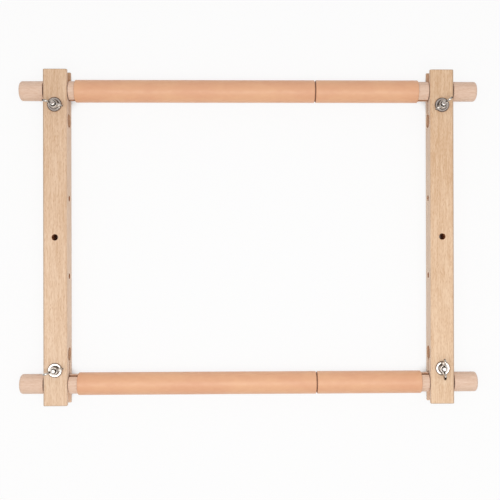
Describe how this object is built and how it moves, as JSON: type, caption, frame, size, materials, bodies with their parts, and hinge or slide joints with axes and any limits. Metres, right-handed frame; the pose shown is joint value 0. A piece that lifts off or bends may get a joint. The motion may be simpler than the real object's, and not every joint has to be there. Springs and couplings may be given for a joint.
{
  "type": "embroidery frame",
  "caption": "Rectangular embroidery frame: slotted side bars clamp turned rollers with wing nuts, and split-tube clips hold the fabric on the rollers.",
  "frame": {"origin": "under the middle of the frame, at the backs of the clamp bolts' heads, on which it lies", "axes": "+X to the picture's right, along the rollers; +Y up the side bars to the top roller; +Z out of the front, the side of the wing nuts"},
  "size_m": [0.4068, 0.296, 0.0335],
  "materials": {
    "bar_wood": "fine-sanded bare beech with short brown flecks",
    "roller_wood": "turned and sanded pale wood",
    "clip_plastic": "satin peach plastic",
    "plated_steel": "bright zinc plate"
  },
  "bodies": {
    "side_bars": {"left_bar": "bar_wood", "right_bar": "bar_wood", "clamp_bolt_top_left": "plated_steel", "clamp_bolt_top_right": "plated_steel", "clamp_bolt_bottom_left": "plated_steel", "clamp_bolt_bottom_right": "plated_steel"},
    "top_roller": {"top_roller": "roller_wood"},
    "bottom_roller": {"bottom_roller": "roller_wood"},
    "top_long_clip": {"top_long_clip": "clip_plastic"},
    "top_short_clip": {"top_short_clip": "clip_plastic"},
    "bottom_long_clip": {"bottom_long_clip": "clip_plastic"},
    "bottom_short_clip": {"bottom_short_clip": "clip_plastic"},
    "washer_top_left": {"washer_top_left": "plated_steel"},
    "washer_top_right": {"washer_top_right": "plated_steel"},
    "washer_bottom_left": {"washer_bottom_left": "plated_steel"},
    "washer_bottom_right": {"washer_bottom_right": "plated_steel"},
    "wing_nut_top_left": {"wing_nut_top_left": "plated_steel"},
    "wing_nut_top_right": {"wing_nut_top_right": "plated_steel"},
    "wing_nut_bottom_left": {"wing_nut_bottom_left": "plated_steel"},
    "wing_nut_bottom_right": {"wing_nut_bottom_right": "plated_steel"}
  },
  "joints": [
    {"name": "top_roller_turn", "type": "hinge", "parent": "side_bars", "child": "top_roller", "pos_m": [0, 0.13, 0.0125], "axis": [1, 0, 0], "continuous": true},
    {"name": "bottom_roller_turn", "type": "hinge", "parent": "side_bars", "child": "bottom_roller", "pos_m": [0, -0.13, 0.0125], "axis": [1, 0, 0], "continuous": true},
    {"name": "top_long_clip_slide", "type": "slide", "parent": "top_roller", "child": "top_long_clip", "axis": [1, 0, 0], "range_m": [-0.0052, 0]},
    {"name": "top_short_clip_slide", "type": "slide", "parent": "top_roller", "child": "top_short_clip", "axis": [1, 0, 0], "range_m": [0, 0.0088]},
    {"name": "bottom_long_clip_slide", "type": "slide", "parent": "bottom_roller", "child": "bottom_long_clip", "axis": [1, 0, 0], "range_m": [-0.0075, 0]},
    {"name": "bottom_short_clip_slide", "type": "slide", "parent": "bottom_roller", "child": "bottom_short_clip", "axis": [1, 0, 0], "range_m": [0, 0.0065]},
    {"name": "washer_lift_top_left", "type": "slide", "parent": "side_bars", "child": "washer_top_left", "axis": [0, 0, 1], "range_m": [0, 0.0021]},
    {"name": "washer_lift_top_right", "type": "slide", "parent": "side_bars", "child": "washer_top_right", "axis": [0, 0, 1], "range_m": [0, 0.0021]},
    {"name": "washer_lift_bottom_left", "type": "slide", "parent": "side_bars", "child": "washer_bottom_left", "axis": [0, 0, 1], "range_m": [0, 0.0021]},
    {"name": "washer_lift_bottom_right", "type": "slide", "parent": "side_bars", "child": "washer_bottom_right", "axis": [0, 0, 1], "range_m": [0, 0.0021]},
    {"name": "wing_nut_turn_top_left", "type": "hinge", "parent": "washer_top_left", "child": "wing_nut_top_left", "pos_m": [-0.1706, 0.1165, 0.0235], "axis": [0, 0, 1], "range_deg": [0, 1080]},
    {"name": "wing_nut_turn_top_right", "type": "hinge", "parent": "washer_top_right", "child": "wing_nut_top_right", "pos_m": [0.1706, 0.1165, 0.0235], "axis": [0, 0, 1], "range_deg": [0, 1080]},
    {"name": "wing_nut_turn_bottom_left", "type": "hinge", "parent": "washer_bottom_left", "child": "wing_nut_bottom_left", "pos_m": [-0.1706, -0.1165, 0.0235], "axis": [0, 0, 1], "range_deg": [0, 1080]},
    {"name": "wing_nut_turn_bottom_right", "type": "hinge", "parent": "washer_bottom_right", "child": "wing_nut_bottom_right", "pos_m": [0.1706, -0.1165, 0.0235], "axis": [0, 0, 1], "range_deg": [0, 1080]}
  ],
  "couplings": [
    {"joint": "wing_nut_turn_top_left", "follows": "washer_lift_top_left", "rad_per_m": 8976},
    {"joint": "wing_nut_turn_top_right", "follows": "washer_lift_top_right", "rad_per_m": 8976},
    {"joint": "wing_nut_turn_bottom_left", "follows": "washer_lift_bottom_left", "rad_per_m": 8976},
    {"joint": "wing_nut_turn_bottom_right", "follows": "washer_lift_bottom_right", "rad_per_m": 8976}
  ]
}
